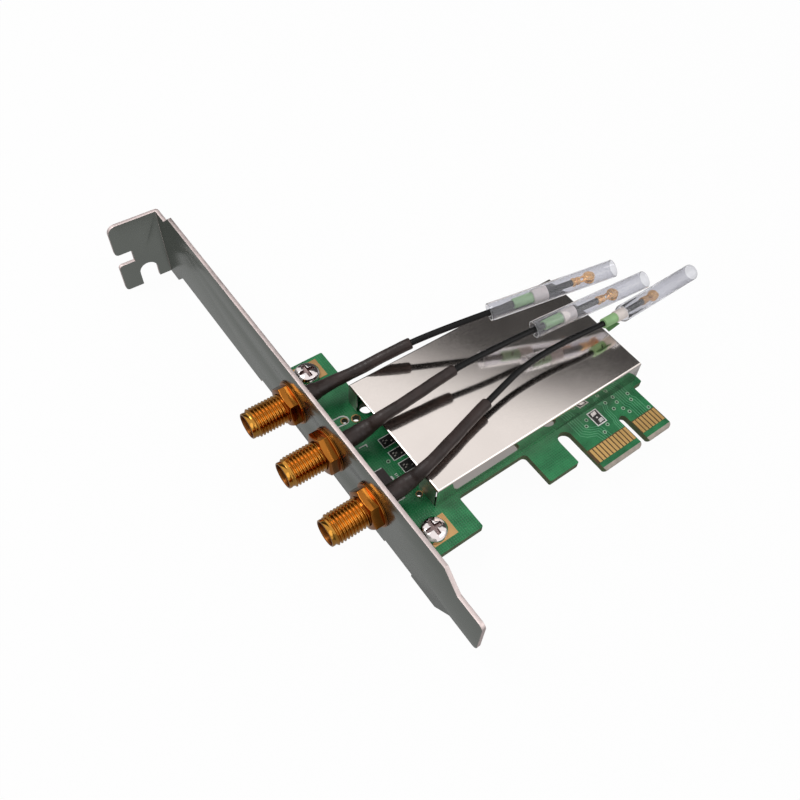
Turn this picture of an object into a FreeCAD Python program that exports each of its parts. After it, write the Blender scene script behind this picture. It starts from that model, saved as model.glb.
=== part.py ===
import FreeCAD, Part
import math
import os
import Sketcher
from FreeCAD import Placement, Rotation, Vector

# Adapter card that holds a mini PCIe radio card in a PCIe slot, in millimetres.
# X runs from the bracket's outer face into the computer, Y from the contact edge up along
# the bracket, and Z out of the board's component side, which is the plane Z = 0.

SIZES = {
    # Bracket: one folded sheet, its strip standing on the plane X = 0
    "bracket_gauge": 0.88,
    "strip_high": 14.38,
    "strip_low": -4.04,
    "strip_top": 106.79,
    "neck_high": 11.15,
    "neck_low": -7.45,
    "neck_start": 98.55,
    "taper_high_start": -2.2,
    "taper_low_start": -1.6,
    "tongue_high": 10.25,
    "tongue_low": -0.05,
    "tongue_tip": -13.23,
    "tongue_corner": 1.2,
    "flange_reach": -11.43,
    "flange_low": -8.1,
    "flange_corner": 2.0,
    "flange_small_corner": 0.9,
    "flange_bend": 0.8,
    "notch_centre": 1.25,
    "notch_width": 3.3,
    "notch_depth": 3.83,
    "slot_place": -5.0,
    "slot_width": 4.3,
    "slot_centre": -4.5,
    # Tabs that the board is screwed to
    "tab_root": -3.15,
    "tab_step_start": 2.2,
    "tab_reach": 12.3,
    "lower_tab_bottom": 5.8,
    "lower_tab_width": 8.8,
    "upper_tab_bottom": 50.9,
    "upper_tab_width": 7.2,
    "lower_recess_width": 8.8,
    "upper_recess_width": 10.6,
    # Board
    "board_gauge": 1.57,
    "board_gap": 0.42,
    "board_right": 68.2,
    "board_top": 44.6,
    "corner_bottom": 4.64,
    "corner_right": 16.2,
    "lower_edge": 12.55,
    "lug_left": 33.75,
    "lug_bottom": 4.52,
    "relief_centre": 43.39,
    "relief_width": 3.38,
    "relief_top": 12.15,
    "tongue_right": 65.38,
    "step_height": 12.0,
    "upper_part_right": 13.5,
    "upper_part_top": 58.36,
    "key_centre": 57.23,
    "key_width": 1.9,
    "key_top": 7.9,
    "edge_bevel": 0.7,
    "edge_bevel_depth": 0.47,
    "board_corner": 0.35,
    "board_inner_corner": 1.0,
    "key_corner": 0.7,
    "board_screw_hole": 1.6,
    # Edge contacts
    "contact_pitch": 1.0,
    "contact_width": 0.7,
    "contact_bottom": 1.95,
    "contact_top": 5.34,
    "plating": 0.05,
    # Screws, their pads and the small plated holes
    "lower_screw_inset": 4.56,
    "lower_screw_rise": 3.6,
    "upper_screw_inset": 4.65,
    "upper_screw_rise": 3.8,
    "screw_thread": 1.5,
    "screw_head": 2.8,
    "screw_head_rise": 1.75,
    "screw_tip": 1.2,
    "screw_tip_radius": 1.05,
    "screw_tip_taper": 0.45,
    "recess_length": 3.5,
    "recess_width": 0.85,
    "recess_depth": 1.1,
    "pad_length": 5.6,
    "pad_height": 5.1,
    "pad_shift_x": 0.93,
    "lower_pad_rise": 3.2,
    "upper_pad_rise": 4.1,
    "ring_outer": 1.05,
    "ring_hole": 0.8,
    # Shield cover over the mini card
    "cover_left": 11.05,
    "cover_length": 55.9,
    "cover_bottom": 13.17,
    "cover_width": 30.5,
    "cover_height": 6.25,
    "cover_gauge": 0.2,
    "cover_bend": 0.5,
    "near_return": 5.6,
    "far_return": 2.9,
    "corner_slit": 0.4,
    # Mini card's place under the cover
    "card_hole_inset": 2.15,
    "card_hole_spacing": 24.2,
    "card_hole": 1.4,
    "card_gauge": 1.0,
    "card_height": 2.4,
    "socket_back_gap": 1.45,
    "socket_side_gap": 0.05,
    "socket_length": 7.6,
    "socket_height": 4.6,
    "socket_back_height": 3.22,
    "socket_back_slope": 1.14,
    "socket_mouth_slope": 1.14,
    "socket_top_start": 1.9,
    "socket_slot_depth": 4.4,
    "socket_pitch": 0.8,
    "tail_width": 0.3,
    "tail_gauge": 0.2,
    "tail_length": 0.9,
    "spring_inset": 0.6,
    "spring_setback": 0.2,
    # Antenna jacks
    "jack_height": 5.06,
    "jack_place_1": 46.8,
    "jack_place_2": 33.2,
    "jack_place_3": 18.5,
    "jack_front": -10.54,
    "jack_thread": 3.15,
    "thread_pitch_radius": 2.95,
    "thread_end_gap": 0.15,
    "jack_chamfer": 0.4,
    "jack_hole_play": 0.1,
    "jack_bore": 2.35,
    "jack_bore_depth": 3.4,
    "jack_tube_bore": 2.0,
    "collar_flats": 8.0,
    "collar_depth": 1.5,
    "crimp_radius": 1.3,
    "crimp_length": 2.22,
    "pin_radius": 0.46,
    "pin_tip": 1.0,
    "pin_tip_radius": 0.18,
    "washer_radius": 4.85,
    "washer_gauge": 0.5,
    "washer_groove": 0.12,
    "nut_flats": 8.0,
    "nut_depth": 2.1,
    "nut_chamfer_radius": 3.88,
    "nut_chamfer_depth": 0.31,
    "washer_play": 0.05,
    # Leads
    "coax_radius": 0.7,
    "lead_straight_1": 4.5,
    "lead_straight_2": 3.1,
    "lead_straight_3": 3.1,
    "boot_wide_radius": 1.9,
    "boot_radius": 1.2,
    "boot_length_1": 22.7,
    "boot_length_2": 25.6,
    "boot_length_3": 27.3,
    "sleeve_radius": 1.6,
    "sleeve_length": 3.3,
    "sleeve_to_plug": 6.0,
    "label_radius": 1.2,
    "label_length": 4.4,
    "tube_radius": 1.95,
    "tube_bore": 1.65,
    "tube_length_1": 29.1,
    "tube_length_2": 28.5,
    "tube_length_3": 25.6,
    "tube_overlap_1": 19.3,
    "tube_overlap_2": 16.0,
    "tube_overlap_3": 7.1,
    "plug_barrel_radius": 0.85,
    "plug_barrel_length": 1.8,
    "plug_neck_length": 0.9,
    "plug_neck_width": 1.3,
    "plug_head_radius": 1.3,
    "plug_head_height": 1.7,
    "plug_socket_radius": 0.95,
    "plug_socket_depth": 0.9,
}

NEAR_CONTACTS = 11
FAR_CONTACTS = 7
# Pitches from the key slot's centre to the first contact on either side
KEY_SPAN = 1.5
SOCKET_CONTACTS = 26
NUT_TURNS = (12.7, 28.7, 4.7)
# Small plated holes: place, and share of the usual size
SMALL_HOLES = ((10.0, 39.4, 0.98), (7.7, 40.2, 0.8), (10.24, 17.46, 0.72))
# Rounded side of a screw head, in shares of its rise and its radius
HEAD_CURVE = ((0.0, 0.95), (0.12, 1.0), (0.45, 0.97), (0.74, 0.82), (0.92, 0.54), (1.0, 0.0))

# Each lead's route after its straight out of the jack, up to the plug in its clear tube
ROUTES = (
    ((14.2, 45.75, 6.2), (19.5, 44.4, 8.4), (28.0, 42.45, 11.1), (44.73, 37.55, 14.52),
     (61.0, 32.9, 17.3)),
    ((11.5, 31.95, 8.65), (17.5, 31.85, 9.3), (28.0, 32.0, 11.0), (37.5, 31.05, 12.15),
     (51.5, 29.98, 12.4), (64.75, 27.84, 14.05)),
    ((11.5, 17.75, 8.65), (16.5, 18.95, 8.75), (25.6, 21.5, 8.8), (34.0, 23.4, 9.5),
     (41.5, 24.8, 10.6), (51.9, 24.9, 10.95), (64.31, 23.39, 11.38), (76.54, 24.06, 10.33)),
)
# The straight of the route along which each boot narrows
BOOT_NARROWS = (0, 1, 1)
# How much of a run between two corners each of its arcs takes
ARC_SHARE = 0.45


class Size:
    """A length with its value and the formula that the document binds it to."""

    def __init__(self, value, formula):
        self.value = value
        self.formula = formula

    def joined(self, sign, other, value):
        formula = other.formula if isinstance(other, Size) else repr(float(other))
        return Size(value, "(%s %s %s)" % (self.formula, sign, formula))

    def __add__(self, other):
        return self.joined("+", other, self.value + number(other))

    def __sub__(self, other):
        return self.joined("-", other, self.value - number(other))

    def __mul__(self, other):
        return self.joined("*", other, self.value * number(other))

    def __truediv__(self, other):
        return self.joined("/", other, self.value / number(other))

    def __neg__(self):
        return Size(-self.value, "(0 - %s)" % self.formula)


def number(size):
    return size.value if isinstance(size, Size) else float(size)


def size(name):
    """The sheet's value under this alias."""
    return Size(sheet.get(name), "sizes." + name)


def fixed(value):
    return Size(float(value), repr(float(value)))


document = FreeCAD.newDocument("mini_card_adapter")
sheet = document.addObject("Spreadsheet::Sheet", "sizes")
for row, (alias, value) in enumerate(SIZES.items(), 1):
    sheet.set("A%d" % row, alias)
    sheet.set("B%d" % row, str(value))
    sheet.setAlias("B%d" % row, alias)
document.recompute()

ZERO = fixed(0)
# How far a cut reaches outside the material
PAST = fixed(1)
nodes = []


def keep(piece, name):
    """Names a finished sub-part and lists it for export."""
    piece.Label = name
    nodes.append(piece)
    return piece


def new_body(name):
    return document.addObject("PartDesign::Body", name)


def bind(thing, **formulas):
    """Binds properties, with a double underscore standing for a dot."""
    for path, length in formulas.items():
        thing.setExpression(path.replace("__", "."), length.formula)


def sketch_on(body, name, plane, height=None):
    """A sketch on one of the body's origin planes, moved along its normal."""
    drawing = body.newObject("Sketcher::SketchObject", name)
    base = [item for item in body.Origin.OriginFeatures if item.Role == plane][0]
    drawing.AttachmentSupport = (base, [""])
    drawing.MapMode = "FlatFace"
    if height is not None:
        drawing.setExpression("AttachmentOffset.Base.z", height.formula)
    return drawing


def place_point(drawing, edge, vertex, x, y):
    """Ties a point of the sketch to its two sizes from the origin."""
    for kind, length in (("DistanceX", x), ("DistanceY", y)):
        rule = drawing.addConstraint(Sketcher.Constraint(kind, -1, 1, edge, vertex, length.value))
        drawing.setExpression("Constraints[%d]" % rule, length.formula)


def draw_outline(drawing, corners):
    """A closed outline of straight sides through the corners."""
    points = [Vector(x.value, y.value, 0) for x, y in corners]
    sides = [Part.LineSegment(points[i - 1], points[i]) for i in range(1, len(points))]
    sides.append(Part.LineSegment(points[-1], points[0]))
    edges = drawing.addGeometry(sides, False)
    for i, edge in enumerate(edges):
        following = edges[(i + 1) % len(edges)]
        drawing.addConstraint(Sketcher.Constraint("Coincident", edge, 2, following, 1))
        place_point(drawing, edge, 1, *corners[i])


def draw_box(drawing, low, high):
    draw_outline(drawing, [low, (high[0], low[1]), high, (low[0], high[1])])


def draw_circle(drawing, x, y, radius):
    circle = Part.Circle(Vector(x.value, y.value, 0), Vector(0, 0, 1), radius.value)
    edge = drawing.addGeometry(circle, False)
    place_point(drawing, edge, 3, x, y)
    rule = drawing.addConstraint(Sketcher.Constraint("Radius", edge, radius.value))
    drawing.setExpression("Constraints[%d]" % rule, radius.formula)


def draw_slot(drawing, centre, width, start, end):
    """A slot along the sketch's Y, square at its start and round at its end."""
    half = width / 2
    sign = 1 if end.value > start.value else -1
    turn = end - half if sign > 0 else end + half
    left, right = centre - half, centre + half
    corners = [(left, turn), (left, start), (right, start), (right, turn)]
    points = [Vector(x.value, y.value, 0) for x, y in corners]
    edges = drawing.addGeometry([Part.LineSegment(points[i], points[i + 1]) for i in range(3)], False)
    middle = Vector(centre.value, turn.value, 0)
    circle = Part.Circle(middle, Vector(0, 0, 1), half.value)
    angles = (0, math.pi) if sign > 0 else (math.pi, 2 * math.pi)
    round_end = drawing.addGeometry(Part.ArcOfCircle(circle, *angles), False)
    for i, edge in enumerate(edges):
        place_point(drawing, edge, 1, *corners[i])
    place_point(drawing, edges[2], 2, *corners[3])
    for i in (0, 1):
        drawing.addConstraint(Sketcher.Constraint("Coincident", edges[i], 2, edges[i + 1], 1))
    first, last = (1, 2) if sign > 0 else (2, 1)
    drawing.addConstraint(Sketcher.Constraint("Coincident", round_end, first, edges[2], 2))
    drawing.addConstraint(Sketcher.Constraint("Coincident", round_end, last, edges[0], 1))
    rule = drawing.addConstraint(Sketcher.Constraint("DistanceY", -1, 1, round_end, 3, turn.value))
    drawing.setExpression("Constraints[%d]" % rule, turn.formula)


def pad(body, drawing, length, reverse=False):
    solid = body.newObject("PartDesign::Pad", drawing.Name + "_pad")
    solid.Profile = drawing
    solid.Reversed = reverse
    solid.setExpression("Length", length.formula)
    document.recompute()
    return solid


def pocket(body, drawing, length=None, forward=True):
    """Cuts the sketch along its normal or against it, by a length or right through."""
    before = body.Shape.Volume
    cut = body.newObject("PartDesign::Pocket", drawing.Name + "_pocket")
    cut.Profile = drawing
    cut.Reversed = forward
    if length is None:
        cut.Type = "ThroughAll"
    else:
        cut.setExpression("Length", length.formula)
    document.recompute()
    if body.Shape.Volume > before - 1e-6:
        raise RuntimeError(drawing.Name + " cuts nothing")
    return cut


def revolve(body, drawing):
    solid = body.newObject("PartDesign::Revolution", drawing.Name + "_revolution")
    solid.Profile = drawing
    solid.ReferenceAxis = (drawing, ["H_Axis"])
    solid.Angle = 360
    document.recompute()
    return solid


def edges_through(shape, axis, spots):
    """Names of the straight edges along an axis through the spots, given without that axis."""
    others = [i for i in range(3) if i != axis]
    names = []
    for i, edge in enumerate(shape.Edges, 1):
        ends = [vertex.Point for vertex in edge.Vertexes]
        if len(ends) != 2 or abs(ends[0][axis] - ends[1][axis]) < 1e-6:
            continue
        for spot in spots:
            goal = [length.value for length in spot]
            if all(abs(end[k] - g) < 1e-4 for end in ends for k, g in zip(others, goal)):
                names.append("Edge%d" % i)
    return names


def round_edges(body, name, names, radius):
    before = body.Tip
    fillet = body.newObject("PartDesign::Fillet", name)
    fillet.Base = (before, names)
    fillet.setExpression("Radius", radius.formula)
    document.recompute()
    return fillet


def screw_place(end):
    """Where a board screw stands, from the reach and the lower side of its tab."""
    x = size("tab_reach") - size(end + "_screw_inset")
    return x, size(end + "_tab_bottom") + size(end + "_screw_rise")


def build_bracket():
    """Folded sheet: strip with its insertion tongue, screw flange and two tabs."""
    gauge, top = size("bracket_gauge"), size("strip_top")
    high, low = size("strip_high"), size("strip_low")
    neck_high, neck_low, start = size("neck_high"), size("neck_low"), size("neck_start")
    tongue_high, tongue_low, tip = size("tongue_high"), size("tongue_low"), size("tongue_tip")
    taper_high, taper_low = size("taper_high_start"), size("taper_low_start")
    body = new_body("bracket_body")
    strip = sketch_on(body, "strip_outline", "YZ_Plane")
    draw_outline(strip, [
        (taper_high, high), (start, high), (start + (high - neck_high), neck_high),
        (top, neck_high), (top, neck_low), (start + (low - neck_low), neck_low), (start, low),
        (taper_low, low), (taper_low - (tongue_low - low), tongue_low), (tip, tongue_low),
        (tip, tongue_high), (taper_high - (high - tongue_high), tongue_high)])
    pad(body, strip, gauge)

    reach, flange_low = size("flange_reach"), size("flange_low")
    slot_x = size("slot_place")
    notch_side = size("notch_width") / 2
    notch_low, notch_high = size("notch_centre") - notch_side, size("notch_centre") + notch_side
    notch_end = reach + size("notch_depth")
    flange = sketch_on(body, "flange_outline", "XZ_Plane", -top)
    draw_outline(flange, [
        (gauge, neck_high), (reach, neck_high), (reach, notch_high), (notch_end, notch_high),
        (notch_end, notch_low), (reach, notch_low), (reach, flange_low), (slot_x, flange_low),
        (slot_x, neck_low), (gauge, neck_low)])
    pad(body, flange, gauge)
    slot = sketch_on(body, "screw_slot", "XZ_Plane", -top)
    slot_end = size("slot_centre") + size("slot_width") / 2
    draw_slot(slot, slot_x, size("slot_width"), flange_low - PAST, slot_end)
    pocket(body, slot, gauge)

    under = -size("board_gauge")
    root, step, tab_reach = size("tab_root"), size("tab_step_start"), size("tab_reach")
    rise = under - gauge - root
    for end in ("lower", "upper"):
        bottom, width = size(end + "_tab_bottom"), size(end + "_tab_width")
        recess = sketch_on(body, end + "_tab_recess", "YZ_Plane")
        draw_box(recess, (bottom, low - PAST), (bottom + size(end + "_recess_width"), root))
        pocket(body, recess, gauge)
        tab = sketch_on(body, end + "_tab", "XZ_Plane", -(bottom + width))
        draw_outline(tab, [
            (ZERO, root + gauge), (ZERO, root), (step, root), (step + rise, under - gauge),
            (tab_reach, under - gauge), (tab_reach, under), (step + rise, under),
            (step, root + gauge)])
        pad(body, tab, width)
    threads = sketch_on(body, "tab_threads", "XY_Plane", root)
    for end in ("lower", "upper"):
        draw_circle(threads, *screw_place(end), size("screw_thread"))
    pocket(body, threads, under - root)
    holes = sketch_on(body, "jack_holes", "YZ_Plane")
    for i in (1, 2, 3):
        radius = size("jack_thread") + size("jack_hole_play")
        draw_circle(holes, size("jack_place_%d" % i), size("jack_height"), radius)
    pocket(body, holes, gauge)

    corners = edges_through(body.Shape, 0, [(tip, tongue_low), (tip, tongue_high)])
    round_edges(body, "tongue_corners", corners, size("tongue_corner"))
    corners = edges_through(body.Shape, 1, [(reach, neck_high)])
    round_edges(body, "flange_large_corner", corners, size("flange_corner"))
    corners = edges_through(body.Shape, 1, [
        (reach, notch_high), (reach, notch_low), (reach, flange_low)])
    round_edges(body, "flange_small_corners", corners, size("flange_small_corner"))
    corners = edges_through(body.Shape, 2, [(gauge, top)])
    round_edges(body, "flange_outer_bend", corners, size("flange_bend"))
    keep(body, "bracket")


def build_board():
    """Board with its contact tongue, relief slot, key slot and holes."""
    gauge = size("board_gauge")
    left = size("bracket_gauge") + size("board_gap")
    right, top = size("board_right"), size("board_top")
    corner_bottom, corner_right = size("corner_bottom"), size("corner_right")
    lower, lug_left, lug_bottom = size("lower_edge"), size("lug_left"), size("lug_bottom")
    relief, relief_width = size("relief_centre"), size("relief_width")
    tongue_right, step = size("tongue_right"), size("step_height")
    part_right, part_top = size("upper_part_right"), size("upper_part_top")
    key, key_width = size("key_centre"), size("key_width")
    body = new_body("board_body")
    outline = sketch_on(body, "board_outline", "XY_Plane")
    draw_outline(outline, [
        (left, corner_bottom), (corner_right, corner_bottom), (corner_right, lower),
        (lug_left, lower), (lug_left, lug_bottom), (relief, lug_bottom), (relief, ZERO),
        (tongue_right, ZERO), (tongue_right, step), (right, step), (right, top),
        (part_right, top), (part_right, part_top), (left, part_top)])
    pad(body, outline, gauge, reverse=True)
    slots = sketch_on(body, "board_slots", "XY_Plane")
    draw_slot(slots, relief, relief_width, -PAST, size("relief_top"))
    draw_slot(slots, key, key_width, -PAST, size("key_top"))
    pocket(body, slots, forward=False)
    holes = sketch_on(body, "board_holes", "XY_Plane")
    for end in ("lower", "upper"):
        draw_circle(holes, *screw_place(end), size("board_screw_hole"))
    card_x = size("cover_left") + size("card_hole_inset")
    middle = size("cover_bottom") + size("cover_width") / 2
    for side in (-0.5, 0.5):
        y = middle + size("card_hole_spacing") * side
        draw_circle(holes, card_x, y, size("card_hole"))
    for x, y, share in SMALL_HOLES:
        draw_circle(holes, fixed(x), fixed(y), size("ring_hole") * share)
    pocket(body, holes, forward=False)
    bevel, depth = size("edge_bevel"), size("edge_bevel_depth")
    bevels = sketch_on(body, "edge_bevels", "YZ_Plane", relief)
    draw_outline(bevels, [(-PAST, PAST), (bevel, PAST), (bevel, ZERO), (ZERO, -depth),
                          (-PAST, -depth)])
    draw_outline(bevels, [(-PAST, depth - gauge), (ZERO, depth - gauge), (bevel, -gauge),
                          (bevel, -gauge - PAST), (-PAST, -gauge - PAST)])
    pocket(body, bevels, tongue_right - relief + PAST)

    half, key_half = relief_width / 2, key_width / 2
    outer = edges_through(body.Shape, 2, [
        (corner_right, corner_bottom), (lug_left, lug_bottom), (relief - half, lug_bottom),
        (right, step), (right, top), (part_right, part_top), (left, part_top),
        (left, corner_bottom)])
    round_edges(body, "board_outer_corners", outer, size("board_corner"))
    inner = edges_through(body.Shape, 2, [
        (corner_right, lower), (lug_left, lower), (part_right, top)])
    round_edges(body, "board_inner_corners", inner, size("board_inner_corner"))
    tips = edges_through(body.Shape, 2, [
        (relief + half, ZERO), (key - key_half, ZERO), (key + key_half, ZERO),
        (tongue_right, ZERO)])
    round_edges(body, "tongue_tips", tips, size("key_corner"))
    keep(body, "circuit_board")


def plain_box(name, low, lengths):
    """A box bound to the sheet at its low corner."""
    box = document.addObject("Part::Box", name)
    bind(box, Length=lengths[0], Width=lengths[1], Height=lengths[2],
         Placement__Base__x=low[0], Placement__Base__y=low[1], Placement__Base__z=low[2])
    return box


def group(name, pieces):
    """Several like solids that share one node."""
    gathered = document.addObject("Part::Compound", name + "_group")
    gathered.Links = pieces
    return keep(gathered, name)


def build_contacts():
    """Gold contacts on both faces of the tongue, either side of the key slot."""
    pitch, width = size("contact_pitch"), size("contact_width")
    bottom, plating = size("contact_bottom"), size("plating")
    height = size("contact_top") - bottom
    under = -size("board_gauge") - plating
    places = [-(KEY_SPAN + k) for k in range(NEAR_CONTACTS)]
    places += [KEY_SPAN + k for k in range(FAR_CONTACTS)]
    pads = []
    for k, place in enumerate(places):
        x = size("key_centre") + pitch * place - width / 2
        for side, z in (("front", ZERO), ("back", under)):
            name = "contact_%s_%d" % (side, k)
            pads.append(plain_box(name, (x, bottom, z), (width, height, plating)))
    group("edge_contacts", pads)


def extrude(drawing, name, length):
    solid = document.addObject("Part::Extrusion", name)
    solid.Base = drawing
    solid.DirMode = "Custom"
    solid.Dir = Vector(0, 0, 1)
    solid.Solid = True
    solid.FaceMakerClass = "Part::FaceMakerBullseye"
    solid.setExpression("LengthFwd", length.formula)
    return solid


def build_pads():
    """Square pads under the screws and rings round the small holes."""
    drawing = document.addObject("Sketcher::SketchObject", "pad_outlines")
    half_x, half_y = size("pad_length") / 2, size("pad_height") / 2
    for end in ("lower", "upper"):
        hole_x, hole_y = screw_place(end)
        x = hole_x + size("pad_shift_x")
        y = size(end + "_tab_bottom") + size(end + "_pad_rise")
        draw_box(drawing, (x - half_x, y - half_y), (x + half_x, y + half_y))
        draw_circle(drawing, hole_x, hole_y, size("board_screw_hole"))
    for x, y, share in SMALL_HOLES:
        draw_circle(drawing, fixed(x), fixed(y), size("ring_outer") * share)
        draw_circle(drawing, fixed(x), fixed(y), size("ring_hole") * share)
    keep(extrude(drawing, "pad_plates", size("plating")), "solder_pads")


def build_cover():
    """Folded cover: top and three walls, with two returns beside its open front."""
    left, length = size("cover_left"), size("cover_length")
    bottom, width = size("cover_bottom"), size("cover_width")
    height, gauge = size("cover_height"), size("cover_gauge")
    right, top = left + length, bottom + width
    body = new_body("cover_body")
    outer = sketch_on(body, "cover_outline", "XY_Plane")
    draw_box(outer, (left, bottom), (right, top))
    pad(body, outer, height)
    upper = edges_through(body.Shape, 0, [(bottom, height), (top, height)])
    upper += edges_through(body.Shape, 1, [(left, height), (right, height)])
    round_edges(body, "cover_bends", upper, size("cover_bend"))
    inside = sketch_on(body, "cover_inside", "XY_Plane")
    draw_box(inside, (left + gauge, bottom + gauge), (right - gauge, top - gauge))
    pocket(body, inside, height - gauge)
    front = sketch_on(body, "cover_front", "XZ_Plane", -(top - size("far_return")))
    draw_box(front, (left - PAST, -PAST), (left + gauge, height - gauge))
    pocket(body, front, width - size("far_return") - size("near_return"))
    slit = sketch_on(body, "cover_slit", "XZ_Plane", -(bottom + gauge + size("corner_slit")))
    draw_box(slit, (left - PAST, -PAST), (left + gauge, height - gauge - size("cover_bend")))
    pocket(body, slit, size("corner_slit"))
    keep(body, "shield_cover")


def build_screw(end):
    """Pan-head screw with a cross recess, down through the board into its tab."""
    rise, radius = size("screw_head_rise"), size("screw_head")
    thread = size("screw_thread")
    length = size("board_gauge") + size("bracket_gauge") + size("plating") + size("screw_tip")
    body = new_body(end + "_screw_body")
    profile = sketch_on(body, end + "_screw_profile", "XZ_Plane")
    shank = [(-length, ZERO), (-length, size("screw_tip_radius")),
             (size("screw_tip_taper") - length, thread), (ZERO, thread)]
    draw_outline(profile, shank + [(rise * up, radius * out) for up, out in HEAD_CURVE])
    revolve(body, profile)
    half, arm = size("recess_width") / 2, size("recess_length") / 2
    recess = sketch_on(body, end + "_screw_recess", "YZ_Plane", rise)
    draw_outline(recess, [
        (half, half), (arm, half), (arm, -half), (half, -half), (half, -arm), (-half, -arm),
        (-half, -half), (-arm, -half), (-arm, half), (-half, half), (-half, arm), (half, arm)])
    pocket(body, recess, size("recess_depth"), forward=False)
    body.Placement = Placement(Vector(), Rotation(Vector(0, 1, 0), -90))
    x, y = screw_place(end)
    bind(body, Placement__Base__x=x, Placement__Base__y=y, Placement__Base__z=size("plating"))
    keep(body, "board_screw_" + end)


def build_socket():
    """Edge socket that takes the mini card, and its contacts with their solder tails."""
    length, height = size("socket_length"), size("socket_height")
    wall = size("cover_gauge")
    cover_right = size("cover_left") + size("cover_length")
    left = cover_right - wall - size("socket_back_gap") - length
    width = size("cover_width") - (wall + size("socket_side_gap")) * 2
    middle = size("cover_bottom") + size("cover_width") / 2
    card_low = size("card_height")
    card_high = card_low + size("card_gauge")
    depth = size("socket_slot_depth")
    body = new_body("socket_body")
    profile = sketch_on(body, "socket_profile", "XZ_Plane", -(middle + width / 2))
    right = left + length
    draw_outline(profile, [
        (left, ZERO), (right, ZERO), (right, size("socket_back_height")),
        (right - size("socket_back_slope"), height), (left + size("socket_top_start"), height),
        (left + size("socket_mouth_slope"), card_high), (left + depth, card_high),
        (left + depth, card_low), (left, card_low)])
    pad(body, profile, width)
    keep(body, "mini_card_socket")
    pitch, tail_width = size("socket_pitch"), size("tail_width")
    gauge, tail = size("tail_gauge"), size("tail_length")
    inset = size("spring_inset")
    spring = depth - inset - size("spring_setback")
    contacts = []
    for k in range(SOCKET_CONTACTS):
        y = middle + pitch * (k - (SOCKET_CONTACTS - 1) / 2) - tail_width / 2
        contacts.append(plain_box("socket_tail_%d" % k, (right, y, ZERO),
                                  (tail, tail_width, gauge)))
        contacts.append(plain_box("socket_spring_%d" % k, (left + inset, y, card_low),
                                  (spring, tail_width, gauge)))
    group("socket_contacts", contacts)


def hexagon(flats):
    """Corners of a hexagon round the origin, one of them on the first axis."""
    radius = flats / math.sqrt(3)
    return [(radius * math.cos(k * math.pi / 3), radius * math.sin(k * math.pi / 3))
            for k in range(6)]


def put_at_jack(piece, index):
    bind(piece, Placement__Base__y=size("jack_place_%d" % index),
         Placement__Base__z=size("jack_height"))


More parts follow.
